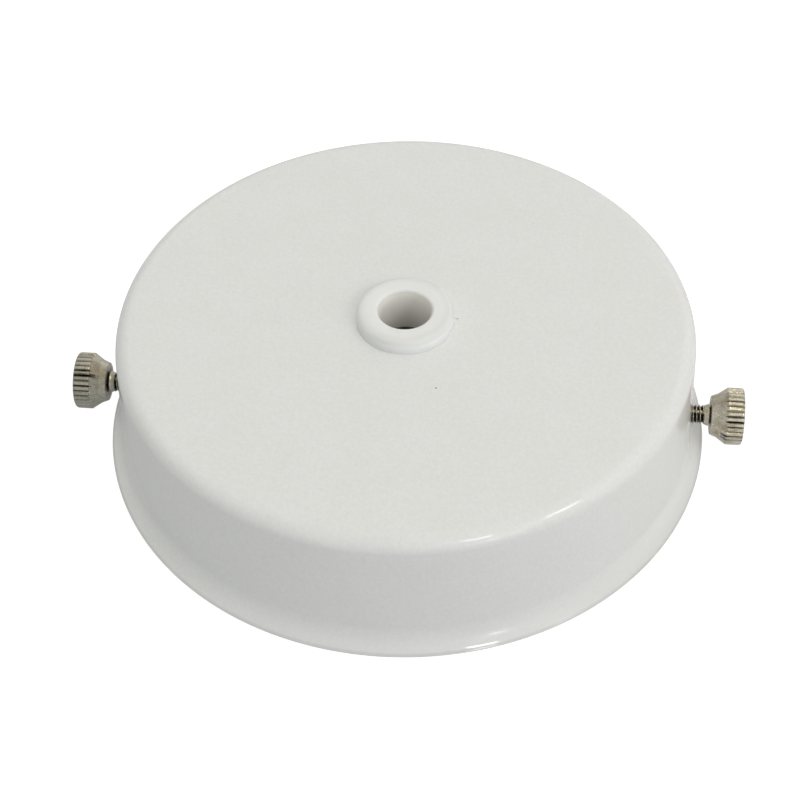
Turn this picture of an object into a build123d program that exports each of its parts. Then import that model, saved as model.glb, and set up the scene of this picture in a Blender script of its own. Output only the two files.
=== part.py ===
from build123d import *
import os
from math import cos, pi, radians, sin, sqrt, tan

# A ceiling canopy for a hanging lamp: a shallow steel cup that covers the wiring, held to a strap
# bracket by two thumbscrews. It stands on its open rim, plate side up, as it would lie on a bench.
# Lengths are millimetres and angles degrees. The origin is the centre of the rim plane, where the
# ceiling would be, +X runs along the thumbscrews and +Z points away from the ceiling.

# Canopy shell, drawn from one sheet of steel
rim_diameter = 120.0
canopy_height = 28.5
sheet = 0.8
plate_corner_radius = 3.0
wall_draft = 2.3
flare_radius = 6.8
flare_angle = 54.0

# Cord bushing, a moulded tube with a flange
cord_bore = 10.5
barrel_wall = 1.3
barrel_drop = 6.5
flange_overhang = 2.95
flange_height = 2.95
flange_edge_round = 1.3
bore_mouth_round = 0.6
barrel_end_chamfer = 0.4

# Lock nut under the plate
nut_flat_width = 2.2
nut_height = 3.0
nut_bevel = 0.6

# Thumbscrews, turned and straight-knurled
screw_height = 6.4
screw_diameter = 3.9
screw_length = 12.0
screw_standout = 3.8
tip_chamfer = 0.5
collar_diameter = 4.4
collar_length = 1.0
relief_diameter = 3.3
relief_width = 0.35
nose_diameter = 7.8
nose_length = 1.35
shoulder_diameter = 8.8
shoulder_length = 1.75
knurl_diameter = 11.4
knurl_start_step = 0.1
knurl_length = 3.3
knurl_edge_chamfer = 0.5
knurl_count = 32
knurl_depth = 0.33

# Mounting bracket, bent from one strap
strap_thickness = 1.5
strap_width = 18.0
bend_radius = 1.5
ear_margin = 5.6
ear_corner_radius = 4.0
cable_hole = 10.5
slot_centres = 51.0
slot_length = 12.0
slot_width = 4.5

# Earth terminal on a lug of the bracket
lug_width = 10.0
lug_corner_radius = 2.5
lug_setback = 12.4
earth_screw_diameter = 3.9
earth_screw_reach = 3.0
earth_head_diameter = 8.0
earth_head_height = 2.4
earth_head_round = 1.2
driver_slot_width = 1.0
driver_slot_depth = 1.2
washer_diameter = 9.0
washer_thickness = 0.8

# Clearances
bushing_clearance = 0.1
thread_clearance = 0.05
wall_hole_clearance = 0.55
bracket_wall_gap = 0.5

# Worked out: the shell's section
rim_radius = rim_diameter / 2
draft = radians(wall_draft)
flare = radians(flare_angle)
lip_height = sheet * sin(flare)
flare_top_radius = rim_radius - flare_radius * (cos(draft) - cos(flare))
flare_top_height = lip_height + flare_radius * (sin(flare) - sin(draft))
plate_radius = flare_top_radius - (canopy_height - flare_top_height) * tan(draft)
plate_underside = canopy_height - sheet


def inner_wall_radius(height):
    """Radius of the inside of the drafted wall at a height above the ceiling."""
    return flare_top_radius - (height - flare_top_height) * tan(draft) - sheet / cos(draft)


# Worked out: bushing and nut
cord_bore_radius = cord_bore / 2
barrel_radius = cord_bore_radius + barrel_wall
flange_radius = barrel_radius + flange_overhang
flange_top = canopy_height + flange_height
barrel_bottom = plate_underside - barrel_drop
plate_hole_radius = barrel_radius + bushing_clearance
nut_bore_radius = barrel_radius + thread_clearance
nut_inner_radius = nut_bore_radius + nut_flat_width
nut_corner_radius = nut_inner_radius / cos(pi / 6)

# Worked out: thumbscrews, measured along their axis from the nose face
screw_radius = screw_diameter / 2
nose_end = nose_length
knurl_start = nose_length + shoulder_length
head_length = knurl_start + knurl_length
wall_hole_radius = screw_radius + wall_hole_clearance
wall_radius_at_screw = flare_top_radius - (screw_height - flare_top_height) * tan(draft)
nose_face_radius = wall_radius_at_screw + screw_standout

# Worked out: bracket and earth terminal
outer_bend_radius = bend_radius + strap_thickness
ear_top = screw_height + ear_margin
ear_reach = sqrt((inner_wall_radius(ear_top) - bracket_wall_gap) ** 2 - (strap_width / 2) ** 2)
tapped_hole_radius = screw_radius + thread_clearance
lug_offset = ear_reach - strap_thickness - lug_setback
lug_outer_y = strap_width / 2 + outer_bend_radius
lug_inner_y = lug_outer_y - strap_thickness
earth_screw_height = outer_bend_radius + washer_diameter / 2
lug_top = earth_screw_height + lug_width / 2
earth_screw_radius = earth_screw_diameter / 2

screw_line = Plane(origin=(0, 0, screw_height), z_dir=(1, 0, 0))
earth_plane = Plane(origin=(lug_offset, lug_inner_y, earth_screw_height), x_dir=(1, 0, 0), z_dir=(0, -1, 0))


# Canopy shell: the skin's outer line gets the sheet's thickness and is spun round the axis
with BuildPart() as canopy_shell:
    with BuildSketch(Plane.XZ) as shell_section:
        with BuildLine() as skin_line:
            skin = FilletPolyline(
                (plate_hole_radius, canopy_height),
                (plate_radius, canopy_height),
                (flare_top_radius, flare_top_height),
                radius=plate_corner_radius,
            )
            JernArc(skin @ 1, skin % 1, flare_radius, flare_angle - wall_draft)
            offset(amount=sheet, side=Side.RIGHT)
        make_face()
    revolve(axis=Axis.Z)
    with Locations(screw_line):
        Hole(wall_hole_radius)

canopy_shell.part.label = "canopy_shell"
export_step(canopy_shell.part, "parts/canopy_shell.step")


# Cord bushing: a flange that sits on the plate and a barrel through it
with BuildPart() as cord_bushing:
    with BuildSketch(Plane.XY.offset(barrel_bottom)):
        Circle(barrel_radius)
    extrude(amount=canopy_height - barrel_bottom)
    with BuildSketch(Plane.XY.offset(canopy_height)):
        Circle(flange_radius)
    extrude(amount=flange_height)
    chamfer(cord_bushing.edges().group_by(Axis.Z)[0], barrel_end_chamfer)
    fillet(cord_bushing.edges().group_by(Axis.Z)[-1], flange_edge_round)
    with Locations(Plane.XY.offset(flange_top)):
        Hole(cord_bore_radius)
    mouth = cord_bushing.edges().group_by(Axis.Z)[-1].sort_by(SortBy.RADIUS)[0]
    fillet(mouth, bore_mouth_round)

cord_bushing.part.label = "cord_bushing"
export_step(cord_bushing.part, "parts/cord_bushing.step")


# Lock nut: a hexagon with its corners bevelled on both faces
with BuildPart() as bushing_nut:
    with BuildSketch(Plane.XY.offset(plate_underside - nut_height)):
        RegularPolygon(nut_inner_radius, 6, major_radius=False)
        Circle(nut_bore_radius, mode=Mode.SUBTRACT)
    extrude(amount=nut_height)
    with BuildSketch(Plane.XZ):
        with BuildLine():
            Polyline(
                (0, plate_underside),
                (nut_corner_radius - nut_bevel / tan(pi / 6), plate_underside),
                (nut_corner_radius, plate_underside - nut_bevel),
                (nut_corner_radius, plate_underside - nut_height + nut_bevel),
                (nut_corner_radius - nut_bevel / tan(pi / 6), plate_underside - nut_height),
                (0, plate_underside - nut_height),
                close=True,
            )
        make_face()
    revolve(axis=Axis.Z, mode=Mode.INTERSECT)

bushing_nut.part.label = "bushing_nut"
export_step(bushing_nut.part, "parts/bushing_nut.step")


# Mounting bracket: a flat strap on the ceiling with an ear bent up at each end
with BuildPart() as mounting_bracket:
    with BuildSketch(Plane.XZ) as strap_section:
        with BuildLine() as strap_line:
            FilletPolyline(
                (-ear_reach, ear_top),
                (-ear_reach, 0),
                (ear_reach, 0),
                (ear_reach, ear_top),
                radius=outer_bend_radius,
            )
            offset(amount=strap_thickness, side=Side.LEFT)
        make_face()
    extrude(amount=strap_width / 2, both=True)
    fillet(mounting_bracket.edges().filter_by(Axis.X).group_by(Axis.Z)[-1], ear_corner_radius)
    with BuildSketch(Plane.YZ.offset(lug_offset - lug_width / 2)) as lug_section:
        with BuildLine() as lug_line:
            FilletPolyline((0, 0), (lug_outer_y, 0), (lug_outer_y, lug_top), radius=outer_bend_radius)
            offset(amount=strap_thickness, side=Side.LEFT)
        make_face()
    extrude(amount=lug_width)
    fillet(mounting_bracket.edges().filter_by(Axis.Y).group_by(Axis.Z)[-1], lug_corner_radius)
    with Locations(screw_line):
        Hole(tapped_hole_radius)
    with Locations(earth_plane):
        Hole(earth_screw_radius + thread_clearance, depth=strap_thickness)
    with BuildSketch(Plane.XY) as base_holes:
        Circle(cable_hole / 2)
        with Locations((-slot_centres / 2, 0), (slot_centres / 2, 0)):
            SlotOverall(slot_length, slot_width)
    extrude(amount=strap_thickness, mode=Mode.SUBTRACT)

mounting_bracket.part.label = "mounting_bracket"
export_step(mounting_bracket.part, "parts/mounting_bracket.step")


# Thumbscrews: the same turned piece on either side, its nose facing the wall
for side, name in ((-1, "thumbscrew_left"), (1, "thumbscrew_right")):
    nose_centre = (side * nose_face_radius, 0, screw_height)
    turning_plane = Plane(origin=nose_centre, x_dir=(side, 0, 0), z_dir=(0, -side, 0))
    nose_plane = Plane(origin=nose_centre, z_dir=(side, 0, 0))
    with BuildPart() as thumbscrew:
        with BuildSketch(turning_plane) as turned_section:
            with BuildLine():
                Polyline(
                    (-screw_length, 0),
                    (-screw_length, screw_radius - tip_chamfer),
                    (tip_chamfer - screw_length, screw_radius),
                    (-relief_width - collar_length, screw_radius),
                    (-relief_width, collar_diameter / 2),
                    (-relief_width, relief_diameter / 2),
                    (0, relief_diameter / 2),
                    (0, nose_diameter / 2),
                    (nose_end, shoulder_diameter / 2),
                    (knurl_start, knurl_diameter / 2 - knurl_start_step),
                    (knurl_start + knurl_start_step, knurl_diameter / 2),
                    (head_length - knurl_edge_chamfer, knurl_diameter / 2),
                    (head_length, knurl_diameter / 2 - knurl_edge_chamfer),
                    (head_length, 0),
                    close=True,
                )
            make_face()
        revolve(axis=Axis(nose_centre, (side, 0, 0)))
        with BuildSketch(nose_plane.offset(nose_end)) as grooves:
            with PolarLocations(knurl_diameter / 2, knurl_count):
                RegularPolygon(knurl_depth, 4)
        extrude(amount=head_length - nose_end, mode=Mode.SUBTRACT)
    thumbscrew.part.label = name
    export_step(thumbscrew.part, "parts/" + name + ".step")


# Earth washer, flat against the lug
with BuildPart() as earth_washer:
    with BuildSketch(earth_plane):
        Circle(washer_diameter / 2)
        Circle(earth_screw_radius + thread_clearance, mode=Mode.SUBTRACT)
    extrude(amount=washer_thickness)

earth_washer.part.label = "earth_washer"
export_step(earth_washer.part, "parts/earth_washer.step")


# Earth screw: a pan head with a driver slot, its shank through the lug
with BuildPart() as earth_screw:
    with BuildSketch(earth_plane.offset(washer_thickness)):
        Circle(earth_head_diameter / 2)
    extrude(amount=earth_head_height)
    fillet(earth_screw.edges().sort_by(Axis.Y)[0], earth_head_round)
    with BuildSketch(earth_plane.offset(washer_thickness)):
        Circle(earth_screw_radius)
    extrude(amount=-(washer_thickness + strap_thickness + earth_screw_reach))
    with BuildSketch(earth_plane.offset(washer_thickness + earth_head_height)):
        Rectangle(earth_head_diameter, driver_slot_width)
    extrude(amount=-driver_slot_depth, mode=Mode.SUBTRACT)
    chamfer(earth_screw.edges().sort_by(Axis.Y)[-1], tip_chamfer)

earth_screw.part.label = "earth_screw"
export_step(earth_screw.part, "parts/earth_screw.step")
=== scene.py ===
from math import atan2, cos, pi, radians, sin, sqrt, tan

import bmesh
import bpy
from mathutils import Matrix, Vector

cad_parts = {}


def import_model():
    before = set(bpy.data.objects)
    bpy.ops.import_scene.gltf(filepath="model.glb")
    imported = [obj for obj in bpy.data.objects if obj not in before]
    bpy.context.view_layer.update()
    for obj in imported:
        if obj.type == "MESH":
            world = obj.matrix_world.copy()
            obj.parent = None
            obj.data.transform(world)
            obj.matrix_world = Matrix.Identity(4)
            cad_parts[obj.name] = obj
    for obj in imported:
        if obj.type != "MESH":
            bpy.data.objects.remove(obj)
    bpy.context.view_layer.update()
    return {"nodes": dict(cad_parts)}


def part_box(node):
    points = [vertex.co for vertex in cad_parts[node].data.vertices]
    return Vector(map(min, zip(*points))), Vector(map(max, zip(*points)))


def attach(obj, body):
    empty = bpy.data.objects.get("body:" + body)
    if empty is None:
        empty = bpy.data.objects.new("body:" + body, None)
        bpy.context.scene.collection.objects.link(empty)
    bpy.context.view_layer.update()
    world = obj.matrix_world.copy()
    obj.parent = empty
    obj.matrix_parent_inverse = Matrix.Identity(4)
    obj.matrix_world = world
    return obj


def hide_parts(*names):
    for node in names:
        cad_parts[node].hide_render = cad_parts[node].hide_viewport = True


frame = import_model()

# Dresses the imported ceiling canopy. Shapes are drawn in millimetres, in the frame of the CAD,
# and scaled to metres as each mesh is made. The dimensions repeat those of the CAD source.
MM = 0.001

# Canopy shell
RIM_RADIUS = 60.0
HEIGHT = 28.5
SHEET = 0.8
UNDER_PLATE = HEIGHT - SHEET
CORNER = 3.0
DRAFT = radians(2.3)
FLARE_RADIUS = 6.8
FLARE = radians(54.0)
LIP_HEIGHT = SHEET * sin(FLARE)
FLARE_TOP_RADIUS = RIM_RADIUS - FLARE_RADIUS * (cos(DRAFT) - cos(FLARE))
FLARE_TOP_HEIGHT = LIP_HEIGHT + FLARE_RADIUS * (sin(FLARE) - sin(DRAFT))
FLARE_CENTRE = (FLARE_TOP_RADIUS + FLARE_RADIUS * cos(DRAFT), FLARE_TOP_HEIGHT + FLARE_RADIUS * sin(DRAFT))
PLATE_HOLE_RADIUS = 6.65
WALL_HOLE_RADIUS = 2.5

# Thumbscrews
SCREW_HEIGHT = 6.4
NOSE_GAP = 3.8
NOSE_FACE_RADIUS = FLARE_TOP_RADIUS - (SCREW_HEIGHT - FLARE_TOP_HEIGHT) * tan(DRAFT) + NOSE_GAP

# M4 threads: the radii are those of the root, the chamfered tip and the end inside the head
M4_PITCH = 0.7
M4_ROOT = 1.53
M4_TIP = 1.40
M4_HEEL = 1.50

# The photo's camera, fitted to the outline with the lens axis through the picture's centre. The
# thumbscrews lie a few degrees off the picture's own right, so the camera is turned by as much.
PICTURE = 800
TURN = radians(5.75)
CAMERA_DISTANCE = 388.536
CAMERA_ELEVATION = radians(45.862)
CAMERA_AIM = (-1.287, -7.916)
CAMERA_ROLL = radians(-1.198)
FOCAL_PIXELS = 1947.777
SENSOR = 36.0


# ---- mesh helpers ----

def clamp(value):
    return max(0.0, min(1.0, value))


def linked(name, mesh, sharp=35.0):
    """An object of a mesh, smooth except along edges sharper than an angle."""
    mesh.shade_smooth()
    mesh.set_sharp_from_angle(angle=radians(sharp))
    obj = bpy.data.objects.new(name, mesh)
    bpy.context.scene.collection.objects.link(obj)
    return obj


def make_object(name, verts, faces, matrix=None, sharp=35.0, attributes=None):
    """A mesh object from points in millimetres, with a number at each point for each attribute."""
    mesh = bpy.data.meshes.new(name)
    scale = Matrix.Scale(MM, 4)
    mesh.from_pydata([tuple(v) for v in verts], [], faces)
    mesh.transform(scale @ matrix if matrix else scale)
    for key, values in (attributes or {}).items():
        mesh.attributes.new(key, "FLOAT", "POINT").data.foreach_set("value", values)
    form = bmesh.new()
    form.from_mesh(mesh)
    bmesh.ops.delete(form, geom=[v for v in form.verts if not v.link_faces], context="VERTS")
    bmesh.ops.recalc_face_normals(form, faces=form.faces)
    form.to_mesh(mesh)
    form.free()
    return linked(name, mesh, sharp)


def steps(start, end, count):
    """Evenly spaced numbers from one to another, both included."""
    return [start + (end - start) * k / count for k in range(count + 1)]


def line(start, end, count):
    """Points of a straight line in the section plane, without the first one."""
    return list(zip(steps(start[0], end[0], count), steps(start[1], end[1], count)))[1:]


def arc(centre, radius, start, end, count):
    """Points of an arc in the section plane, from one angle to another."""
    return [(centre[0] + radius * cos(a), centre[1] + radius * sin(a)) for a in steps(start, end, count)]


def eased(size):
    """The three points of a rounded corner, each as its distances from the corner's two sides."""
    return (0.0, size), (size * 0.3, size * 0.3), (size, 0.0)


def ring_angles(count):
    return [2 * pi * k / count for k in range(count)]


def lathe(profile, angles, closed=False, caps=(True, True), shape=None):
    """Spins (radius, height) points round the Z axis. shape may change a point's radius."""
    verts = []
    for r, z in profile:
        for a in angles:
            radius = shape(r, z, a) if shape else r
            verts.append((radius * cos(a), radius * sin(a), z))
    n = len(angles)
    rows = len(profile)
    faces = []
    for i in range(rows if closed else rows - 1):
        low, high = i * n, ((i + 1) % rows) * n
        for j in range(n):
            k = (j + 1) % n
            faces.append((low + j, low + k, high + k, high + j))
    if not closed:
        if caps[0]:
            faces.append(tuple(reversed(range(n))))
        if caps[1]:
            faces.append(tuple(range((rows - 1) * n, rows * n)))
    return verts, faces


def thread(start, end, pitch, major, minor, start_radius, end_radius, columns=64):
    """A closed threaded rod along Z with its grid laid along the helix, so that its edges are clean."""
    # How far up the thread's flank each row of a turn lies
    shares = (0.0, 0.0, 0.33, 0.67, 1.0, 1.0, 0.67, 0.33)
    rows_per_turn = len(shares)
    step = pitch / rows_per_turn
    rows = int((end - start) / step) + 2 * rows_per_turn + 2
    verts, index = [], {}
    for i in range(rows):
        for j, a in enumerate(ring_angles(columns)):
            z = start - pitch + i * step + pitch * j / columns
            z = min(max(z, start), end)
            radius = minor + (major - minor) * shares[i % rows_per_turn]
            radius = min(radius, start_radius + (z - start), end_radius + (end - z))
            key = (j, round(z, 4), round(radius, 4))
            if key not in index:
                index[key] = len(verts)
                verts.append((radius * cos(a), radius * sin(a), z))
            index[i, j] = index[key]
    faces = []
    for i in range(rows - 1):
        for j in range(columns):
            k = (j + 1) % columns
            lift = rows_per_turn if k == 0 else 0
            if i + 1 + lift >= rows:
                continue
            quad = (index[i, j], index[i + lift, k], index[i + 1 + lift, k], index[i + 1, j])
            corners = tuple(dict.fromkeys(quad))
            if len(corners) > 2:
                faces.append(corners)
    faces.append(tuple(index[0, j] for j in reversed(range(columns))))
    faces.append(tuple(index[rows - 1, j] for j in range(columns)))
    return verts, faces


def m4_thread(start, end, crest):
    return thread(start, end, M4_PITCH, crest, M4_ROOT, M4_TIP, M4_HEEL)


def strip(first, second, flip):
    """Faces between two rings of the same number of vertices."""
    n = len(first)
    out = []
    for k in range(n):
        m = (k + 1) % n
        face = (first[k], first[m], second[m], second[k])
        out.append(face[::-1] if flip else face)
    return out


def joined(*meshes):
    """One vertex and face list from several."""
    verts, faces = [], []
    for v, f in meshes:
        shift = len(verts)
        verts += v
        faces += [tuple(i + shift for i in face) for face in f]
    return verts, faces


# ---- camera ----

def camera_axes():
    """Right, up and backward directions and place of the photo's camera, in millimetres."""
    turn = Matrix.Rotation(TURN, 3, "Z")
    centre = Vector((0, -CAMERA_DISTANCE * cos(CAMERA_ELEVATION),
                     CAMERA_DISTANCE * sin(CAMERA_ELEVATION) + HEIGHT / 2))
    aim = Vector((*CAMERA_AIM, HEIGHT / 2))
    forward = (aim - centre).normalized()
    right = forward.cross(Vector((0, 0, 1))).normalized()
    up = right.cross(forward)
    rolled_right = right * cos(CAMERA_ROLL) + up * sin(CAMERA_ROLL)
    rolled_up = up * cos(CAMERA_ROLL) - right * sin(CAMERA_ROLL)
    return turn @ rolled_right, turn @ rolled_up, turn @ -forward, turn @ centre


def pixel_on_plate(x, y):
    """The point of the canopy's plate that shows at a pixel of the photo."""
    right, up, back, centre = camera_axes()
    ray = right * (x - PICTURE / 2) - up * (y - PICTURE / 2) - back * FOCAL_PIXELS
    return centre + ray * ((HEIGHT - centre.z) / ray.z)


def towards(azimuth, elevation):
    """A direction in the part's frame, given in degrees round from the photo's right, and up."""
    a, e = radians(azimuth) + TURN, radians(elevation)
    return Vector((cos(a) * cos(e), sin(a) * cos(e), sin(e)))


def add_camera():
    right, up, back, centre = camera_axes()
    data = bpy.data.cameras.new("photo_camera")
    data.sensor_fit = "HORIZONTAL"
    data.sensor_width = SENSOR
    data.lens = FOCAL_PIXELS / PICTURE * SENSOR
    data.clip_start = 0.01
    obj = bpy.data.objects.new("photo_camera", data)
    obj.matrix_world = Matrix((
        (right.x, up.x, back.x, centre.x * MM),
        (right.y, up.y, back.y, centre.y * MM),
        (right.z, up.z, back.z, centre.z * MM),
        (0, 0, 0, 1),
    ))
    bpy.context.scene.collection.objects.link(obj)
    bpy.context.scene.camera = obj


add_camera()


# ---- node helpers ----

class Nodes:
    """A small builder for a node tree."""

    def __init__(self, tree):
        self.tree = tree

    def new(self, kind, operation=None):
        node = self.tree.nodes.new("ShaderNode" + kind)
        if operation:
            node.operation = operation
        return node

    def feed(self, socket, value):
        """Gives a socket another node's output, a colour or a number."""
        if isinstance(value, bpy.types.NodeSocket):
            self.tree.links.new(value, socket)
        elif isinstance(value, tuple):
            socket.default_value = (*value, 1.0)
        else:
            socket.default_value = value

    def math(self, operation, first, second):
        node = self.new("Math", operation)
        self.feed(node.inputs[0], first)
        self.feed(node.inputs[1], second)
        return node.outputs[0]

    def lobes(self, direction, entries, sharpness):
        """The sum of broad soft lobes of light, each brightest towards its own azimuth and elevation."""
        total = None
        for azimuth, elevation, strength, color in entries:
            ahead = self.new("VectorMath", "DOT_PRODUCT")
            self.feed(ahead.inputs[0], direction)
            self.feed(ahead.inputs[1], towards(azimuth, elevation))
            lobe = self.math("POWER", self.math("MAXIMUM", ahead.outputs["Value"], 0.0), sharpness)
            add = self.new("VectorMath", "MULTIPLY_ADD")
            self.feed(add.inputs[0], lobe)
            self.feed(add.inputs[1], Vector(color) * strength)
            self.feed(add.inputs[2], total or Vector((0.0, 0.0, 0.0)))
            total = add.outputs[0]
        return total


class Material(Nodes):
    """A builder for one material. Sizes and depths are given in millimetres on the object."""

    SOCKETS = {
        "color": "Base Color", "metallic": "Metallic", "roughness": "Roughness", "ior": "IOR",
        "specular": "Specular IOR Level", "coat": "Coat Weight", "coat_roughness": "Coat Roughness",
        "coat_ior": "Coat IOR", "subsurface": "Subsurface Weight", "subsurface_scale": "Subsurface Scale",
        "glow": "Emission Strength", "glow_color": "Emission Color",
    }

    def __init__(self, name):
        self.material = bpy.data.materials.new(name)
        self.material.use_nodes = True
        super().__init__(self.material.node_tree)
        self.shader = self.tree.nodes["Principled BSDF"]
        self.place = self.new("TexCoord").outputs["Object"]

    def set(self, **values):
        """Sets the shader's sockets and gives the material."""
        for key, value in values.items():
            self.feed(self.shader.inputs[self.SOCKETS[key]], value)
        return self.material

    def stretch(self, scale):
        node = self.new("Mapping")
        node.inputs["Scale"].default_value = scale
        self.feed(node.inputs["Vector"], self.place)
        return node.outputs["Vector"]

    def noise(self, size_mm, detail=2.0, roughness=0.5, place=None):
        node = self.new("TexNoise")
        node.inputs["Scale"].default_value = 1 / (size_mm * MM)
        node.inputs["Detail"].default_value = detail
        node.inputs["Roughness"].default_value = roughness
        self.feed(node.inputs["Vector"], place or self.place)
        return node.outputs["Fac"]

    def spread(self, value, low, high, to_low=0.0, to_high=1.0, smooth=False):
        """Stretches the values between low and high to another span, and holds the rest at its ends."""
        node = self.new("MapRange")
        if smooth:
            node.interpolation_type = "SMOOTHSTEP"
        for socket, number in (("From Min", low), ("From Max", high), ("To Min", to_low), ("To Max", to_high)):
            node.inputs[socket].default_value = number
        self.feed(node.inputs["Value"], value)
        return node.outputs["Result"]

    def patchy(self, size_mm, detail, low, high):
        """A number that wanders between two values over patches of a size."""
        return self.spread(self.noise(size_mm, detail), 0.3, 0.7, low, high)

    def attribute(self, name):
        node = self.new("Attribute")
        node.attribute_name = name
        return node.outputs["Fac"]

    def mix(self, factor, first, second):
        node = self.new("Mix")
        node.data_type = "RGBA"
        for socket, value in (("Factor", factor), ("A", first), ("B", second)):
            self.feed(node.inputs[socket], value)
        return node.outputs["Result"]

    def tint(self, color, where, amount, tone):
        """The colour, turned towards a tone by an amount where a value is 1."""
        return self.mix(self.math("MULTIPLY", where, amount), color, tone)

    def dot(self, point_mm, radius_mm):
        """1 inside a small soft-edged spot round a point, 0 outside."""
        node = self.new("VectorMath", "DISTANCE")
        self.feed(node.inputs[0], self.place)
        self.feed(node.inputs[1], point_mm * MM)
        radius = radius_mm * MM
        return self.spread(node.outputs["Value"], radius * 0.6, radius, 1.0, 0.0, smooth=True)

    def away(self, start, end, to_high=1.0):
        """0 round the part, rising outwards to a value between two distances from its origin, in metres."""
        node = self.new("VectorMath", "LENGTH")
        self.feed(node.inputs[0], self.place)
        return self.spread(node.outputs["Value"], start, end, 0.0, to_high, smooth=True)

    def bump(self, *heights):
        """Adds bumps, given as (height socket, depth in millimetres), one on top of the other."""
        normal = None
        for height, depth_mm in heights:
            node = self.new("Bump")
            node.inputs["Distance"].default_value = depth_mm * MM
            self.feed(node.inputs["Height"], height)
            if normal:
                self.feed(node.inputs["Normal"], normal)
            normal = node.outputs["Normal"]
        self.feed(self.shader.inputs["Normal"], normal)


# ---- materials ----

# Dark specks of the plate: their pixel in the photo, radius in millimetres and strength
SPECKS = ((453, 318, 0.42, 0.75), (457.3, 318.6, 0.30, 0.45), (436, 388, 0.24, 0.85))


def white_enamel():
    m = Material("white_enamel")
    color = m.mix(m.patchy(9.0, 3.0, 0.0, 1.0), (0.760, 0.757, 0.737), (0.772, 0.771, 0.753))
    grain = m.spread(m.noise(0.7, 3.0, 0.75), 0.3, 0.7)
    color = m.tint(color, grain, 0.40, (0.62, 0.62, 0.60))
    # Painted shade on the flare's foot, strongest on the right side
    color = m.tint(color, m.attribute("low"), 0.8, (0.63, 0.63, 0.62))
    for x, y, radius, strength in SPECKS:
        color = m.tint(color, m.dot(pixel_on_plate(x, y), radius), strength, (0.13, 0.125, 0.12))
    # Painted shade along the sheared lip, whose cut face turns down and away from the light
    color = m.tint(color, m.attribute("lip"), 0.5, (0.50, 0.50, 0.49))
    m.bump((m.noise(0.9, 2.0), 0.007), (m.noise(0.28, 2.0), 0.002))
    rough = m.patchy(0.6, 2.0, 0.52, 0.62)
    return m.set(color=color, roughness=rough, specular=0.3, coat=1.0, coat_roughness=0.07, coat_ior=1.65)


def white_nylon():
    m = Material("white_nylon")
    color = m.mix(m.patchy(3.0, 3.0, 0.0, 1.0), (0.776, 0.774, 0.755), (0.792, 0.790, 0.774))
    color = m.tint(color, m.spread(m.noise(0.3, 2.0), 0.35, 0.75), 0.08, (0.62, 0.62, 0.61))
    # Painted light on the flange's side, full on the right half and fading out to the left, and painted shade
    # on its rounded edge
    color = m.mix(m.attribute("side"), color, (0.85, 0.86, 0.865))
    color = m.mix(m.attribute("rim"), color, (0.725, 0.723, 0.705))
    # The bore's colour is painted light and shade: lighter than the nylon just inside, darker with depth, with
    # a plain tone on the rounded mouth
    inside = m.mix(m.attribute("depth"), (0.95, 0.935, 0.885), (0.60, 0.58, 0.54))
    mouth = m.spread(m.attribute("depth"), 0.02, 0.10, 1.0, 0.0)
    inside = m.mix(mouth, inside, (0.74, 0.735, 0.71))
    color = m.mix(m.attribute("bore"), color, inside)
    m.bump((m.noise(0.5, 3.0, 0.6), 0.006))
    m.shader.inputs["Subsurface Radius"].default_value = (1.0, 1.0, 1.0)
    rough = m.patchy(0.8, 2.0, 0.30, 0.42)
    return m.set(color=color, roughness=rough, ior=1.52, subsurface=0.4, subsurface_scale=1.5 * MM)


def satin_nickel():
    m = Material("satin_nickel")
    patina = m.spread(m.noise(2.2, 4.0, 0.6), 0.40, 0.68, smooth=True)
    color = m.mix(patina, (0.60, 0.565, 0.485), (0.42, 0.375, 0.285))
    color = m.tint(color, m.spread(m.noise(0.35, 3.0, 0.7), 0.58, 0.72), 0.35, (0.22, 0.20, 0.17))
    rubbed = m.spread(m.noise(0.7, 2.0, 0.6, m.stretch((0.25, 1.0, 1.0))), 0.42, 0.62, 0.15, 1.0)
    # Wear and painted glint: a pale gold tint on rubbed ridges and crests, on the painted highlight line along
    # the thread and as an even painted sheen on the left cone
    color = m.tint(color, m.attribute("worn"), rubbed, (0.93, 0.88, 0.68))
    # Tarnish and painted shade: the left screw darker overall and darkest on its underside
    color = m.tint(color, m.attribute("tarnish"), 0.38, (0.36, 0.37, 0.34))
    color = m.tint(color, m.attribute("stain"), 0.36, (0.62, 0.45, 0.29))
    # Painted shade in the crevices: the knurl's grooves, the thread's roots and the relief groove, uneven in
    # patches
    patchy_shade = m.spread(m.noise(1.6, 2.0), 0.36, 0.62, 0.55, 1.0)
    color = m.tint(color, m.attribute("crevice"), patchy_shade, (0.030, 0.027, 0.022))
    turned = m.noise(0.16, 2.0, 0.6, m.stretch((1.0, 0.06, 0.06)))
    m.bump((turned, 0.012), (m.noise(0.22, 3.0, 0.6), 0.010))
    return m.set(color=color, metallic=1.0, roughness=m.patchy(0.5, 3.0, 0.22, 0.38))


def zinc_plate():
    m = Material("zinc_plate")
    spangle = m.spread(m.noise(6.0, 4.0, 0.6), 0.35, 0.65)
    color = m.mix(spangle, (0.66, 0.68, 0.71), (0.74, 0.74, 0.72))
    color = m.tint(color, m.spread(m.noise(1.1, 3.0, 0.7), 0.55, 0.75), 0.25, (0.45, 0.46, 0.49))
    rolled = m.noise(0.3, 2.0, 0.6, m.stretch((0.05, 1.0, 1.0)))
    m.bump((rolled, 0.006), (m.noise(0.7, 3.0), 0.006))
    return m.set(color=color, metallic=1.0, roughness=m.patchy(1.4, 3.0, 0.27, 0.40))


def brass():
    m = Material("brass")
    patina = m.spread(m.noise(1.5, 4.0, 0.6), 0.35, 0.7)
    color = m.mix(patina, (0.80, 0.61, 0.30), (0.62, 0.44, 0.20))
    m.bump((m.noise(0.25, 3.0, 0.6, m.stretch((1.0, 0.1, 1.0))), 0.008))
    return m.set(color=color, metallic=1.0, roughness=m.patchy(0.5, 3.0, 0.24, 0.38))


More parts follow.
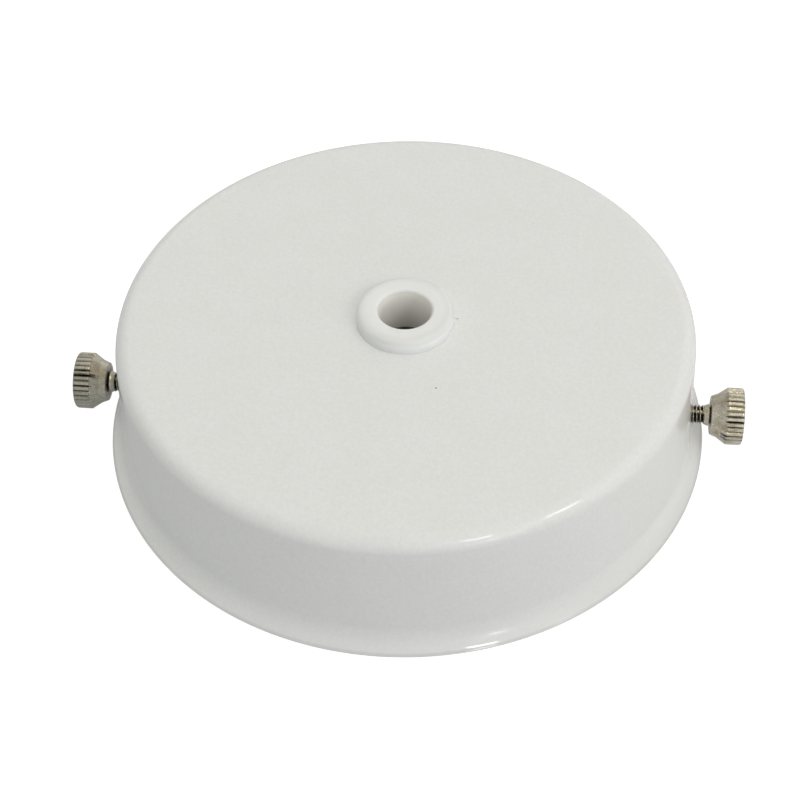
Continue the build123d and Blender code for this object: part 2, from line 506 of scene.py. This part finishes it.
MATERIALS = {
    "white_enamel": white_enamel(),
    "white_nylon": white_nylon(),
    "satin_nickel": satin_nickel(),
    "zinc_plate": zinc_plate(),
    "brass": brass(),
}


def dress(obj, slot, body, node):
    """Gives a new piece its material and body, in place of a CAD node."""
    obj.data.materials.clear()
    obj.data.materials.append(MATERIALS[slot])
    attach(obj, body)
    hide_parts(node)


# ---- canopy shell ----

HOLE_EDGE = 0.12
LIP_ROUND = 0.08
# Points this near the rim and this low get the painted shade of the sheared lip
LIP_SHADE_WIDTH = 0.9
LIP_SHADE_TOP = 1.0
INNER_ROWS_FROM = 0.35
SHELL_COLUMNS = 240
# The wall's patch that is cut out round each screw hole: its rows, and its columns to each side
PATCH_HEIGHTS = steps(2.9, 9.9, 10)
PATCH_COLUMNS = 3
# How far from the patch's border towards the hole each ring of vertices lies
PATCH_RINGS = (0.45, 0.75, 0.92, 1.0)
# Painted shade on the flare's foot, strongest on the right side: the height where it starts, and the drop over
# which it grows
FOOT_SHADE_HEIGHT = 5.0
FOOT_SHADE_FADE = 4.4


def skin_radius(z, inside):
    """Radius of the shell's wall and flare at a height, on its outer or inner skin."""
    radius = FLARE_RADIUS + (SHEET if inside else 0.0)
    top = FLARE_CENTRE[1] - radius * sin(DRAFT)
    if z >= top:
        return FLARE_CENTRE[0] - radius * cos(DRAFT) - (z - top) * tan(DRAFT)
    drop = FLARE_CENTRE[1] - z
    return FLARE_CENTRE[0] - sqrt(radius * radius - drop * drop)


def wall_rows(inside):
    """Heights of the wall's rows from the flare's lip to the plate's corner, through the patch rows."""
    rows = steps(INNER_ROWS_FROM if inside else LIP_HEIGHT, PATCH_HEIGHTS[0], 9)[:-1]
    rows += PATCH_HEIGHTS
    return rows + steps(PATCH_HEIGHTS[-1], HEIGHT - CORNER - CORNER * sin(DRAFT), 8)[1:]


def shell_profile():
    """The shell's closed section, and the row numbers where each side's hole patch starts."""
    corner = (skin_radius(HEIGHT - CORNER, False) - CORNER / cos(DRAFT), HEIGHT - CORNER)
    hole = PLATE_HOLE_RADIUS + HOLE_EDGE
    profile = [(PLATE_HOLE_RADIUS + across, HEIGHT - down) for across, down in eased(HOLE_EDGE)]
    profile += line((hole, HEIGHT), (corner[0], HEIGHT), 12)[:-1]
    profile += arc(corner, CORNER, pi / 2, DRAFT, 14)
    outer = wall_rows(False)[-2::-1]
    outer_start = len(profile) + outer.index(PATCH_HEIGHTS[-1])
    profile += [(skin_radius(z, False), z) for z in outer[:-1]]
    # The sheared rim, its paint drawn thin over both edges
    across = Vector((-cos(FLARE), -sin(FLARE)))
    along = Vector((sin(FLARE), -cos(FLARE)))
    lip = Vector((RIM_RADIUS, LIP_HEIGHT))
    edge = [(depth, back) for depth, back in eased(LIP_ROUND)]
    edge += [(SHEET - depth, back) for depth, back in reversed(edge)]
    profile += [tuple(lip + across * depth - along * back) for depth, back in edge]
    inner = wall_rows(True)[1:]
    inner_start = len(profile) + inner.index(PATCH_HEIGHTS[0])
    profile += [(skin_radius(z, True), z) for z in inner]
    profile += arc(corner, CORNER - SHEET, DRAFT, pi / 2, 10)
    profile += line((corner[0], UNDER_PLATE), (hole, UNDER_PLATE), 12)
    profile.append((PLATE_HOLE_RADIUS, UNDER_PLATE + HOLE_EDGE))
    return profile, outer_start, inner_start


def patch_border(start, middle, upwards):
    """Vertex numbers round a cut-out, from its low left corner, anticlockwise seen from outside."""
    def column(c):
        return (middle + c) % SHELL_COLUMNS

    rows = [r * SHELL_COLUMNS for r in range(start, start + len(PATCH_HEIGHTS))]
    if not upwards:
        rows.reverse()
    loop = [rows[0] + column(c) for c in range(-PATCH_COLUMNS, PATCH_COLUMNS)]
    loop += [row + column(PATCH_COLUMNS) for row in rows[:-1]]
    loop += [rows[-1] + column(c) for c in range(PATCH_COLUMNS, -PATCH_COLUMNS, -1)]
    return loop + [row + column(-PATCH_COLUMNS) for row in reversed(rows[1:])]


def shell_mesh():
    """The spun shell, with the two round screw holes set into its wall."""
    profile, outer_start, inner_start = shell_profile()
    verts, faces = lathe(profile, ring_angles(SHELL_COLUMNS), closed=True)
    sides = ((1, 0), (-1, SHELL_COLUMNS // 2))
    cut = set()
    for start in (outer_start, inner_start):
        for i in range(start, start + len(PATCH_HEIGHTS) - 1):
            for side, middle in sides:
                for c in range(-PATCH_COLUMNS, PATCH_COLUMNS):
                    cut.add(i * SHELL_COLUMNS + (middle + c) % SHELL_COLUMNS)
    faces = [f for i, f in enumerate(faces) if i not in cut]

    def add_ring(side, inside, points, depth=0.0):
        """Vertices on the wall's skin at points given across and up from the screw's axis."""
        first = len(verts)
        for across, up in points:
            r = skin_radius(up + SCREW_HEIGHT, inside)
            verts.append((side * (sqrt(r * r - across * across) + depth), across * side, up + SCREW_HEIGHT))
        return list(range(first, len(verts)))

    for side, middle in sides:
        rims = []
        for start, inside in ((outer_start, False), (inner_start, True)):
            ring = patch_border(start, middle, upwards=inside)
            flat = [(verts[v][1] * side, verts[v][2] - SCREW_HEIGHT) for v in ring]
            bearings = [atan2(up, across) for across, up in flat]
            edge = [((WALL_HOLE_RADIUS + HOLE_EDGE) * cos(b), (WALL_HOLE_RADIUS + HOLE_EDGE) * sin(b))
                    for b in bearings]
            hole = [(WALL_HOLE_RADIUS * cos(b), WALL_HOLE_RADIUS * sin(b)) for b in bearings]
            for share in PATCH_RINGS:
                points = [(a + (c - a) * share, b + (d - b) * share) for (a, b), (c, d) in zip(flat, edge)]
                inward = add_ring(side, inside, points)
                faces += strip(ring, inward, inside)
                ring = inward
            rims.append(add_ring(side, inside, hole, HOLE_EDGE if inside else -HOLE_EDGE))
            faces += strip(ring, rims[-1], inside)
        faces += strip(rims[0], rims[1], False)
    return verts, faces


def add_shell():
    verts, faces = shell_mesh()
    tones = {
        # Where the sheared lip gets its painted shade
        "lip": [float(sqrt(x * x + y * y) > RIM_RADIUS - LIP_SHADE_WIDTH and z < LIP_SHADE_TOP) for x, y, z in verts],
        # How much painted shade the flare's foot gets, full on the right and none on the left
        "low": [clamp((FOOT_SHADE_HEIGHT - z) / FOOT_SHADE_FADE) * (0.5 + 0.5 * x / RIM_RADIUS) for x, y, z in verts],
    }
    skin = make_object("canopy_shell_skin", verts, faces, attributes=tones)
    dress(skin, "white_enamel", "canopy", "canopy_shell")


add_shell()


# ---- cord bushing ----

CORD_BORE = 5.25
BORE_ROUND = 0.6
FLANGE = 9.5
FLANGE_TOP = HEIGHT + 2.95
FLANGE_UNDER = HEIGHT + 0.004
FLANGE_ROUND = 1.3
FOOT_ROUND = 0.06
BARREL = 6.55
BARREL_BOTTOM = UNDER_PLATE - 6.5
BARREL_CORE = 5.75
BARREL_EASE = 0.25
NECK = BARREL - 0.02
BUSHING_COLUMNS = 128
# The barrel's thread is a helical skin of its own, with flat ends, that meets the neck above
THREAD_TOP = UNDER_PLATE + 0.05
THREAD_PITCH = 1.0
THREAD_DEPTH = 0.55
THREAD_COLUMNS = 96
# Radius on the flange's top where the painted shade of its rounded edge starts
FACE_RADIUS = 7.6


def bushing_mesh():
    # From the bore's bottom, over the thread's core, up the neck, round the flange and down the bore
    loop = [(CORD_BORE, BARREL_BOTTOM + BARREL_EASE), (CORD_BORE + BARREL_EASE, BARREL_BOTTOM),
            (BARREL_CORE, BARREL_BOTTOM), (BARREL_CORE, UNDER_PLATE - 0.3),
            (BARREL - THREAD_DEPTH, UNDER_PLATE), (NECK, UNDER_PLATE + 0.1), (NECK, FLANGE_UNDER)]
    loop += arc((FLANGE - FOOT_ROUND, FLANGE_UNDER + FOOT_ROUND), FOOT_ROUND, -pi / 2, 0, 3)
    loop += arc((FLANGE - FLANGE_ROUND, FLANGE_TOP - FLANGE_ROUND), FLANGE_ROUND, 0, pi / 2, 10)
    loop += [(7.3, FLANGE_TOP), (6.6, FLANGE_TOP)]
    loop += arc((CORD_BORE + BORE_ROUND, FLANGE_TOP - BORE_ROUND), BORE_ROUND, pi / 2, pi, 6)
    loop += line((CORD_BORE, FLANGE_TOP - BORE_ROUND), (CORD_BORE, BARREL_BOTTOM), 5)[:-1]
    return lathe(loop, ring_angles(BUSHING_COLUMNS), closed=True)


def barrel_thread_mesh():
    return thread(BARREL_BOTTOM, THREAD_TOP, THREAD_PITCH, BARREL, BARREL - THREAD_DEPTH,
                  BARREL - 0.75, BARREL - 0.56, THREAD_COLUMNS)


def hollow(mesh, radius, z_low, z_high, columns):
    """Replaces a closed rod's two flat caps with a bore through it."""
    verts, faces = list(mesh[0]), list(mesh[1])
    bottom, top = faces[-2], faces[-1]
    faces = faces[:-2]
    rings = []
    for z in (z_low, z_high):
        rings.append(list(range(len(verts), len(verts) + columns)))
        verts += [(radius * cos(a), radius * sin(a), z) for a in ring_angles(columns)]
    faces += strip(list(bottom)[::-1], rings[0], True)
    faces += strip(list(top), rings[1], False)
    faces += strip(rings[0], rings[1], True)
    return verts, faces


def flange_light_and_shade(x, y, z):
    """How much painted light a point of the flange's side gets, full on the right half and fading out to the
    left, and how much painted shade its rounded edge gets.
    """
    radius = sqrt(x * x + y * y)
    if z < HEIGHT or radius < FACE_RADIUS:
        return 0.0, 0.0
    side = clamp((FLANGE_TOP - 0.65 - z) / 0.45)
    return side * min(1.0, 1.0 + x / radius), clamp((radius - FACE_RADIUS) / 0.8) * (1 - side)


def add_bushing():
    tube = hollow(barrel_thread_mesh(), CORD_BORE + 0.3, BARREL_BOTTOM, THREAD_TOP, THREAD_COLUMNS)
    verts, faces = joined(bushing_mesh(), tube)
    side, rim = zip(*(flange_light_and_shade(*v) for v in verts))
    tones = {
        # Where the bore's painted light and shade go, and how deep each point lies
        "bore": [clamp(1 - (sqrt(x * x + y * y) - CORD_BORE) / BORE_ROUND) for x, y, z in verts],
        "depth": [(FLANGE_TOP - z) / (FLANGE_TOP - BARREL_BOTTOM) for x, y, z in verts],
        # The flange side's painted light and its rounded edge's painted shade
        "side": side,
        "rim": rim,
    }
    moulding = make_object("cord_bushing_moulding", verts, faces, attributes=tones)
    dress(moulding, "white_nylon", "canopy", "cord_bushing")


add_bushing()


# ---- thumbscrews ----

SCREW_LENGTH = 12.0
SHANK_TOP = -0.9
CREST = 1.97
HEAD_LENGTH = 6.4
KNURL_COUNT = 32
KNURL_PITCH = 2 * pi / KNURL_COUNT
KNURL_RADIUS = 5.7
KNURL_DEPTH = 0.38
KNURL_HALF_WIDTH = 0.30
KNURL_START = 3.1
KNURL_EDGE = 0.5
# Columns of one ridge and groove in millimetres round the head, closer at the groove's edges
KNURL_MARKS = (0.0, 0.15, 0.30, 0.36, 0.54, 0.72, 0.78, 0.93)
SHOULDER_RADIUS = 4.4
NOSE_LENGTH = 1.35
# Radius and place along the axis of the points of the collar, the relief groove and the nose's face
COLLAR = [(1.75, -1.35), (1.9, -1.25), (2.02, -0.95), (2.2, -0.45), (2.2, -0.35), (2.08, -0.32)]
RELIEF = [(1.65, -0.32), (1.65, 0.0)]
NOSE_FACE = [(3.2, 0.0), (3.74, 0.0), (3.86, 0.05), (3.92, 0.15)]
# How dark the painted shade in some of the knurl's grooves is, by their number round the head
GROOVE_SHADE = {
    -1: {26: 0.5, 27: 1.1, 28: 0.4, 29: 1.6, 30: 1.2, 31: 0.4},
    1: {16: 0.5, 17: 1.0, 18: 0.35, 19: 0.3, 20: 0.8, 21: 1.4, 22: 0.5, 23: 0.4, 24: 1.8, 25: 1.8},
}
# Painted shade in the knurl's other grooves, and the painted shadow in the relief groove under the head
OTHER_GROOVES_SHADE = 0.55
RELIEF_SHADOW = 1.6
# Grooves with more painted shade than the first number darken the ridge beside them by the second, also
# painted shade
HEAVY_SHADE = 1.5
SHADED_RIDGE = 0.8
# How much wear and painted glint the knurl's ridges get
RIDGE_WEAR_AND_GLINT = 0.8
# The painted highlight line along the top of each thread, which also lightens its root's painted shade: its
# angle and half its width
HIGHLIGHT_LINE = radians(22)
HIGHLIGHT_WIDTH = radians(20)
# The left screw is duller: its ridges get less wear and painted glint, and its cone has a faint even painted
# sheen
LEFT_WEAR_AND_GLINT = 0.3
LEFT_CONE_PAINTED_SHEEN = 0.48
# The brown stain on the left screw's cone: its angle and half its width
STAIN_LINE = radians(13)
STAIN_WIDTH = radians(28)


def groove_radius(angle):
    """Radius of the knurl's V grooves at an angle."""
    off = (angle + KNURL_PITCH / 2) % KNURL_PITCH - KNURL_PITCH / 2
    across = abs(off) * KNURL_RADIUS
    return KNURL_RADIUS - KNURL_DEPTH + KNURL_DEPTH * across / KNURL_HALF_WIDTH


def head_mesh():
    """The turned head, from its collar to the middle of its end face."""
    end, start = HEAD_LENGTH, KNURL_START
    profile = COLLAR + RELIEF + NOSE_FACE
    profile += line(NOSE_FACE[-1], (SHOULDER_RADIUS, NOSE_LENGTH), 5)
    profile += line((SHOULDER_RADIUS, NOSE_LENGTH), (KNURL_RADIUS - 0.1, start), 10)
    profile += [(KNURL_RADIUS - 0.02, start + 0.06), (KNURL_RADIUS, start + 0.16)]
    profile += line((KNURL_RADIUS, start + 0.16), (KNURL_RADIUS, end - KNURL_EDGE), 6)
    profile += arc((KNURL_RADIUS - KNURL_EDGE, end - KNURL_EDGE), KNURL_EDGE, 0, pi / 2, 6)[1:]
    # The end face is dished a little
    profile += [(4.5, end), (4.4, end - 0.05), (3.0, end - 0.06), (1.5, end - 0.07), (0.5, end - 0.07)]

    def knurled(r, z, a):
        return min(r, groove_radius(a)) if z > NOSE_LENGTH and r > SHOULDER_RADIUS - 0.05 else r

    ridge = KNURL_PITCH * KNURL_RADIUS
    angles = [k * KNURL_PITCH + mark / ridge * KNURL_PITCH for k in range(KNURL_COUNT) for mark in KNURL_MARKS]
    return lathe(profile, angles, shape=knurled)


def head_shade_and_glint(x, y, z, side):
    """How dark a point of the head is with painted shade in its crevices, and how bright it is with wear and
    painted glint.
    """
    radius = sqrt(x * x + y * y)
    # Painted shadow in the relief groove under the head
    if -0.4 < z < 0.01 and radius < 2.0:
        return RELIEF_SHADOW, 0.0
    if z < NOSE_LENGTH + 0.1 or radius < 4.8:
        return 0.0, 0.0
    angle = atan2(y, x)
    painted_shade = GROOVE_SHADE[side].get(round(angle / KNURL_PITCH) % KNURL_COUNT, OTHER_GROOVES_SHADE)
    if groove_radius(angle) < radius + 0.02:
        return clamp((KNURL_RADIUS - radius) / KNURL_DEPTH) * painted_shade, 0.0
    if painted_shade > HEAVY_SHADE and groove_radius(angle) < KNURL_RADIUS + 0.1:
        return SHADED_RIDGE, 0.0
    return 0.0, RIDGE_WEAR_AND_GLINT if z > KNURL_START else 0.0


def thread_shade_and_glint(x, y, z, side):
    """The same for a point of the thread: painted shade in the root, wear and painted glint on the crest, and
    a painted highlight line along the top.
    """
    crest = clamp((sqrt(x * x + y * y) - M4_ROOT) / (CREST - M4_ROOT))
    off_line = abs(atan2(-y, -x * side) - HIGHLIGHT_LINE)
    highlight = max(0.0, 1 - off_line / HIGHLIGHT_WIDTH)
    return min(1.6, 2.6 * (1 - crest)) * (1 - 0.9 * highlight), max(0.8 * highlight, crest * 2.0 - 1.0)


def left_tarnish_and_shade(x, y, z):
    """How dull a point of the left thumbscrew is, tarnish and painted shade: darker on its underside, lighter
    on top.
    """
    up = (0.72 * y + 0.69 * x) / KNURL_RADIUS
    if z > KNURL_START:
        return 0.50 + 1.5 * max(0.0, -up) - 0.15 * max(0.0, up)
    return 0.62 + 0.9 * max(0.0, -up) - 0.5 * max(0.0, up)


def left_stain(x, y, z):
    """How brown a point of the left thumbscrew is: a stain on top of its cone."""
    if not 0.2 < z < KNURL_START + 0.5 or sqrt(x * x + y * y) < 3.0:
        return 0.0
    return max(0.0, 1 - ((atan2(-y, x) - STAIN_LINE) / STAIN_WIDTH) ** 2)


def thumbscrew(name, node, body, side):
    head, shank = head_mesh(), m4_thread(-SCREW_LENGTH, SHANK_TOP, CREST)
    shade_and_glint = [head_shade_and_glint(*v, side) for v in head[0]] + [thread_shade_and_glint(*v, side) for v in shank[0]]
    crevice, worn = zip(*shade_and_glint)
    verts, faces = joined(head, shank)
    tarnish = stain = [0.0] * len(verts)
    if side < 0:
        on_cone = [0.0 < z < KNURL_START and not painted_shade for painted_shade, (x, y, z) in zip(crevice, verts)]
        # The left cone gets an even painted sheen
        worn = [LEFT_CONE_PAINTED_SHEEN if cone else rubbed * LEFT_WEAR_AND_GLINT for cone, rubbed in zip(on_cone, worn)]
        tarnish = [left_tarnish_and_shade(*v) for v in verts]
        stain = [left_stain(*v) for v in verts]
    tones = {"crevice": crevice, "worn": worn, "tarnish": tarnish, "stain": stain}
    turn = Matrix.Rotation(radians(90 * side), 4, "Y")
    place = Matrix.Translation((side * NOSE_FACE_RADIUS, 0, SCREW_HEIGHT)) @ turn
    dress(make_object(name, verts, faces, place, sharp=28.0, attributes=tones), "satin_nickel", body, node)


thumbscrew("left_thumbscrew_turned", "thumbscrew_left", "left_screw", -1)
thumbscrew("right_thumbscrew_turned", "thumbscrew_right", "right_screw", 1)


# ---- lock nut ----

NUT_BORE = 6.6
NUT_FLAT = 8.8
NUT_HEIGHT = 3.0
NUT_BEVEL = 0.6
NUT_EASE = 0.10
NUT_COLUMNS = 216
# Rows of the section near this radius are moved out to the hexagon
OUTSIDE = 20.0


def nut_mesh():
    """The hexagon nut, its corners bevelled by a cone and every edge eased."""
    low, high = UNDER_PLATE - NUT_HEIGHT, UNDER_PLATE
    corner = NUT_FLAT / cos(pi / 6)
    # The CAD's nut shows by its box whether it has a corner or a flat on the X axis
    turned = 0.0 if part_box("bushing_nut")[1][0] / MM > NUT_FLAT + 0.5 else pi / 6

    def hexagonal(r, z, a):
        if r < OUTSIDE / 2:
            return r
        hexagon = NUT_FLAT / cos((a + turned) % (pi / 3) - pi / 6)
        bevel = max(0.0, NUT_BEVEL - min(z - low, high - z)) / tan(pi / 6)
        return min(hexagon, corner - 0.12, corner - bevel) - (OUTSIDE - r)

    skin = [(OUTSIDE - inset, low + rise) for rise, inset in eased(NUT_EASE)]
    skin += line((OUTSIDE, low + NUT_EASE), (OUTSIDE, low + NUT_BEVEL), 6) + [(OUTSIDE, (low + high) / 2)]
    skin += [(r, low + high - z) for r, z in reversed(skin[:-1])]
    loop = [(NUT_BORE, low + 0.3), (NUT_BORE + 0.3, low), (NUT_BORE + 1.2, low)] + skin
    loop += [(NUT_BORE + 1.2, high), (NUT_BORE + 0.3, high), (NUT_BORE, high - 0.3)]
    return lathe(loop, ring_angles(NUT_COLUMNS), closed=True, shape=hexagonal)


dress(make_object("bushing_lock_nut", *nut_mesh()), "white_nylon", "canopy", "bushing_nut")


# ---- earth terminal ----

WASHER = 0.8
WASHER_HOLE = 2.0
WASHER_RADIUS = 4.5
WASHER_EASE = 0.12
EARTH_HEAD_RADIUS = 4.0
EARTH_HEAD_HEIGHT = 2.4
EARTH_HEAD_ROUND = 1.2
EARTH_SHANK = 5.3
EARTH_CREST = 1.93
SLOT_HALF_WIDTH = 0.5
SLOT_FLOOR = 1.2
SLOT_EASE = 0.06
EARTH_COLUMNS = 96


def earth_place(height):
    """Where a turned piece of the earth terminal goes: its axis points inwards from the bracket's lug."""
    low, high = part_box("earth_washer")
    centre = [(low[k] + high[k]) / 2 / MM for k in range(3)]
    return Matrix.Translation((centre[0], high[1] / MM - height, centre[2])) @ Matrix.Rotation(pi / 2, 4, "X")


def washer_mesh():
    """A flat ring with its four edges eased, the outer ones rounder."""
    low, high, ease = 0.0, WASHER, WASHER_EASE
    section = [(WASHER_HOLE, high - ease), (WASHER_HOLE, low + ease), (WASHER_HOLE + ease, low)]
    section += [(WASHER_RADIUS - inset, low + rise) for rise, inset in eased(ease)]
    section += [(WASHER_RADIUS - inset, high - fall) for inset, fall in eased(ease)]
    return lathe(section + [(WASHER_HOLE + ease, high)], ring_angles(EARTH_COLUMNS), closed=True)


def carved(mesh, cutter):
    """The first closed mesh with the second one taken out of it."""
    body, tool = (bpy.data.objects.new("carving", bpy.data.meshes.new("carving")) for _ in range(2))
    for obj, (verts, faces) in ((body, mesh), (tool, cutter)):
        obj.data.from_pydata(verts, [], faces)
        bpy.context.scene.collection.objects.link(obj)
    cut = body.modifiers.new("cut", "BOOLEAN")
    cut.operation = "DIFFERENCE"
    cut.solver = "EXACT"
    cut.object = tool
    result = body.evaluated_get(bpy.context.evaluated_depsgraph_get()).to_mesh()
    verts = [tuple(v.co) for v in result.vertices]
    faces = [tuple(f.vertices) for f in result.polygons]
    for obj in (body, tool):
        bpy.data.objects.remove(obj)
    return verts, faces


def slot_cutter():
    """A bar along X that cuts the driver slot with eased edges."""
    top, half_length = EARTH_HEAD_HEIGHT, EARTH_HEAD_RADIUS + 1
    mouth = SLOT_HALF_WIDTH + SLOT_EASE * 2
    right = [(SLOT_HALF_WIDTH, SLOT_FLOOR), (SLOT_HALF_WIDTH, top - SLOT_EASE),
             (mouth, top + SLOT_EASE), (mouth, top + 1)]
    section = right + [(-y, z) for y, z in reversed(right)]
    verts = [(x, y, z) for x in (-half_length, half_length) for y, z in section]
    n = len(section)
    faces = [(k, k + n, (k + 1) % n + n, (k + 1) % n) for k in range(n)]
    return verts, faces + [tuple(range(n)), tuple(reversed(range(n, 2 * n)))]


def earth_screw_mesh():
    """A round head with a driver slot, on an M4 thread."""
    profile = [(EARTH_HEAD_RADIUS - 0.08, 0.0), (EARTH_HEAD_RADIUS, 0.08)]
    profile += arc((EARTH_HEAD_RADIUS - EARTH_HEAD_ROUND, EARTH_HEAD_HEIGHT - EARTH_HEAD_ROUND),
                   EARTH_HEAD_ROUND, 0, pi / 2, 8)
    head = carved(lathe(profile, ring_angles(EARTH_COLUMNS)), slot_cutter())
    return joined(head, m4_thread(-EARTH_SHANK, 0.05, EARTH_CREST))


dress(make_object("earth_cup_washer", *washer_mesh(), earth_place(0.0)), "brass", "canopy", "earth_washer")
dress(make_object("earth_terminal_screw", *earth_screw_mesh(), earth_place(WASHER), sharp=28.0),
      "brass", "canopy", "earth_screw")


# ---- bracket ----

BRACKET_EASE = 0.18


def pressed_copy(name, node):
    """A copy of a pressed CAD piece with its sharp edges eased."""
    form = bmesh.new()
    form.from_mesh(frame["nodes"][node].data)
    bmesh.ops.remove_doubles(form, verts=form.verts, dist=1e-6)
    bmesh.ops.dissolve_limit(form, angle_limit=radians(0.5), verts=form.verts, edges=form.edges)
    edges = [e for e in form.edges if e.is_manifold and e.calc_face_angle() > radians(40)]
    bmesh.ops.bevel(form, geom=edges, offset=BRACKET_EASE * MM, offset_type="OFFSET", segments=2, profile=0.5,
                    affect="EDGES", clamp_overlap=True)
    for vert in form.verts:
        vert.co.z = max(vert.co.z, 0.0)
    mesh = bpy.data.meshes.new(name)
    form.to_mesh(mesh)
    form.free()
    return linked(name, mesh)


dress(pressed_copy("strap_bracket_pressed", "mounting_bracket"), "zinc_plate", "canopy", "mounting_bracket")


# ---- floor, lights and world ----

WHITE_PIECES = ("canopy_shell_skin", "cord_bushing_moulding")
THUMBSCREWS = ("left_thumbscrew_turned", "right_thumbscrew_turned")
LAMP_DISTANCE = 1.3
# Azimuth and elevation in the photo, width, height, light on the plate, colour, the only pieces lit
LAMPS = {
    "lamp_right": (-32.0, 38.0, 0.24, 0.13, 0.047, (1.0, 0.97, 0.95), None),
    "lamp_front": (-65.5, 36.0, 0.19, 0.10, 0.036, (0.98, 1.0, 1.0), None),
    "lamp_low": (-62.5, 9.0, 0.13, 0.12, 0.012, (0.98, 1.0, 1.0), None),
    "lamp_above": (0.0, 88.0, 1.2, 0.06, 0.150, (1.0, 0.93, 0.72), THUMBSCREWS),
}
# The same for broad lamps that only brighten, without a shadow or a reflection of their own
FILLS = {
    "fill_top": (0.0, 88.0, 1.0, 1.0, 0.300, (1.0, 1.0, 0.99), WHITE_PIECES),
    "fill_right": (-5.0, 12.0, 1.0, 1.0, 0.192, (1.0, 1.0, 1.0), WHITE_PIECES),
    "fill_left": (185.0, 12.0, 1.0, 1.0, 0.080, (0.96, 1.0, 0.99), WHITE_PIECES),
}
# Light from the room and light that the bench throws up on each side of the part, as soft lobes:
# azimuth and elevation in the photo, brightness, colour
SKY_SHARPNESS = 5.0
SKY = (
    (0.0, 12.0, 0.255, (1.0, 0.99, 0.98)),
    (60.0, 12.0, 0.625, (1.0, 0.99, 0.99)),
    (120.0, 12.0, 0.474, (1.0, 1.0, 0.99)),
    (180.0, 12.0, 0.289, (0.97, 1.0, 0.97)),
    (240.0, 12.0, 0.472, (0.98, 1.0, 1.0)),
    (300.0, 12.0, 0.915, (0.99, 1.0, 1.0)),
    (30.0, 52.0, 0.179, (1.0, 0.95, 0.91)),
    (90.0, 52.0, 0.346, (1.0, 0.98, 0.95)),
    (150.0, 52.0, 0.306, (0.99, 1.0, 0.95)),
    (210.0, 52.0, 0.101, (0.92, 1.0, 0.9)),
    (270.0, 52.0, 0.200, (0.97, 1.0, 0.97)),
    (330.0, 52.0, 0.226, (1.0, 0.99, 0.96)),
    (0.0, 88.0, 0.028, (1.0, 0.89, 0.46)),
)
BENCH_SHARPNESS = 2.0
BENCH_LIGHT = (
    (0.0, 0.0, 0.348, (0.99, 1.0, 0.97)),
    (90.0, 0.0, 0.401, (1.0, 1.0, 1.0)),
    (180.0, 0.0, 0.220, (0.98, 1.0, 1.0)),
    (270.0, 0.0, 0.295, (0.88, 0.9, 1.0)),
)
BOARD_LIGHT = 0.92
# Distances from the part's axis, in metres, between which the light of board and bench comes in
BOARD_FADE = (0.0555, 0.0585)
BENCH_FADE = (0.057, 0.060)


def floor():
    """A white board that the camera sees, and just under it the grey bench that lights the part."""
    disc = lathe([(400.0, 0.0), (4000.0, 0.0)], ring_angles(64), caps=(True, False))
    board = make_object("floor", *disc)
    m = Material("floor_board")
    board.data.materials.append(m.set(color=(0.35, 0.35, 0.35), roughness=0.9, specular=0.0,
                                      glow_color=(1.0, 1.0, 1.0), glow=m.away(*BOARD_FADE, BOARD_LIGHT)))
    board.visible_diffuse = board.visible_glossy = board.visible_transmission = board.visible_shadow = False
    bench = make_object("bench", *disc)
    bench.location.z = -0.0002
    m = Material("bench")
    outward = m.new("VectorMath", "NORMALIZE")
    m.feed(outward.inputs[0], m.place)
    glow = m.lobes(outward.outputs[0], BENCH_LIGHT, BENCH_SHARPNESS)
    bench.data.materials.append(m.set(color=(0.5, 0.5, 0.5), roughness=0.8, specular=0.1,
                                      glow_color=glow, glow=m.away(*BENCH_FADE)))
    bench.visible_camera = False


def softbox(name, azimuth, elevation, width, height, strength, color, pieces, fill=False):
    """An area light aimed at the plate. Its strength is the light that it gives there."""
    direction = towards(azimuth, elevation)
    data = bpy.data.lights.new(name, "AREA")
    data.shape = "RECTANGLE"
    data.size = width
    data.size_y = height
    data.energy = strength * pi * pi * LAMP_DISTANCE * LAMP_DISTANCE
    data.color = color
    data.use_shadow = not fill
    obj = bpy.data.objects.new(name, data)
    obj.location = direction * LAMP_DISTANCE + Vector((0, 0, HEIGHT * MM))
    obj.rotation_euler = (-direction).to_track_quat("-Z", "Y").to_euler()
    obj.visible_camera = False
    obj.visible_glossy = not fill
    bpy.context.scene.collection.objects.link(obj)
    if pieces:
        lit = bpy.data.collections.new(name + "_lights")
        for piece in pieces:
            lit.objects.link(bpy.data.objects[piece])
        obj.light_linking.receiver_collection = lit


def world():
    """White room walls all round, as lobes of soft light."""
    studio = bpy.data.worlds.new("studio")
    bpy.context.scene.world = studio
    studio.use_nodes = True
    nodes = Nodes(studio.node_tree)
    direction = nodes.new("TexCoord").outputs["Generated"]
    nodes.feed(nodes.tree.nodes["Background"].inputs["Color"], nodes.lobes(direction, SKY, SKY_SHARPNESS))


floor()
for name, lamp in LAMPS.items():
    softbox(name, *lamp)
for name, lamp in FILLS.items():
    softbox(name, *lamp, fill=True)
world()

view = bpy.context.scene.view_settings
view.view_transform = "Standard"
view.look = "None"
view.exposure = 0.0
view.gamma = 1.0
